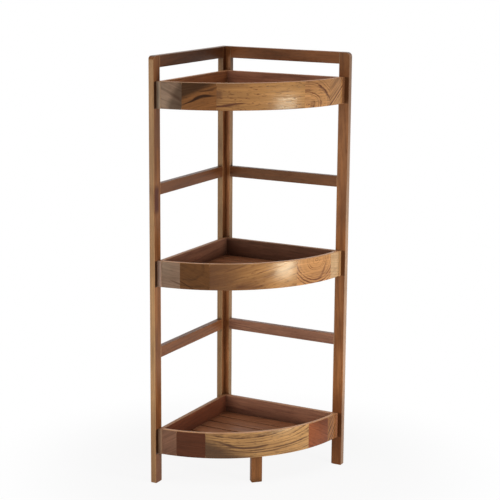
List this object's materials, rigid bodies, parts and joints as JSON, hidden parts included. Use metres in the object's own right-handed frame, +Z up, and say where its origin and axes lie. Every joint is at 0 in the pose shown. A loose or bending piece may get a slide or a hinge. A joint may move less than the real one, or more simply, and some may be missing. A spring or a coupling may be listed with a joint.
{
  "type": "corner shelf",
  "caption": "Tall oiled hardwood corner shelf: two flat ladder frames at a right angle carry three quarter-round trays with slatted floors and low curved fronts.",
  "frame": {"origin": "middle of the square footprint, on the floor the shelf stands on", "axes": "+Z up; the left frame stands along the -X side and the back frame along the +Y side, so the corner of the room is towards -X +Y and the curved fronts face +X -Y"},
  "size_m": [0.29, 0.29, 0.85],
  "materials": {
    "post_wood": "oiled, satin",
    "rail_wood": "oiled, satin",
    "wall_wood": "oiled, satin",
    "stave_wood_light": "oiled, satin",
    "stave_wood_dark": "oiled, satin",
    "slat_wood": "oiled, satin",
    "bearer_wood": "sanded, oiled",
    "dowel_wood": "plain, unfinished",
    "screw_steel": "zinc plated"
  },
  "bodies": {
    "root": {"left_front_post": "post_wood", "left_corner_post": "post_wood", "back_corner_post": "post_wood", "back_front_post": "post_wood", "left_top_rail": "rail_wood", "left_upper_rail": "rail_wood", "left_lower_rail": "rail_wood", "back_top_rail": "rail_wood", "back_upper_rail": "rail_wood", "back_lower_rail": "rail_wood", "top_tray_left_wall": "wall_wood", "top_tray_back_wall": "wall_wood", "middle_tray_left_wall": "wall_wood", "middle_tray_back_wall": "wall_wood", "bottom_tray_left_wall": "wall_wood", "bottom_tray_back_wall": "wall_wood", "top_front_stave_1": "stave_wood_dark", "top_front_stave_2": "stave_wood_dark", "top_front_stave_3": "stave_wood_light", "top_front_stave_4": "stave_wood_dark", "top_front_stave_5": "stave_wood_light", "middle_front_stave_1": "stave_wood_dark", "middle_front_stave_2": "stave_wood_dark", "middle_front_stave_3": "stave_wood_light", "middle_front_stave_4": "stave_wood_dark", "middle_front_stave_5": "stave_wood_light", "bottom_front_stave_1": "stave_wood_dark", "bottom_front_stave_2": "stave_wood_dark", "bottom_front_stave_3": "stave_wood_light", "bottom_front_stave_4": "stave_wood_dark", "bottom_front_stave_5": "stave_wood_light", "top_slat_1": "slat_wood", "top_slat_2": "slat_wood", "top_slat_3": "slat_wood", "top_slat_4": "slat_wood", "top_slat_5": "slat_wood", "top_slat_6": "slat_wood", "top_slat_7": "slat_wood", "middle_slat_1": "slat_wood", "middle_slat_2": "slat_wood", "middle_slat_3": "slat_wood", "middle_slat_4": "slat_wood", "middle_slat_5": "slat_wood", "middle_slat_6": "slat_wood", "middle_slat_7": "slat_wood", "bottom_slat_1": "slat_wood", "bottom_slat_2": "slat_wood", "bottom_slat_3": "slat_wood", "bottom_slat_4": "slat_wood", "bottom_slat_5": "slat_wood", "bottom_slat_6": "slat_wood", "bottom_slat_7": "slat_wood", "top_bearers": "bearer_wood", "middle_bearers": "bearer_wood", "bottom_bearers": "bearer_wood", "front_leg": "post_wood", "leg_block": "bearer_wood", "rail_dowels": "dowel_wood", "wood_screws": "screw_steel"}
  },
  "joints": []
}
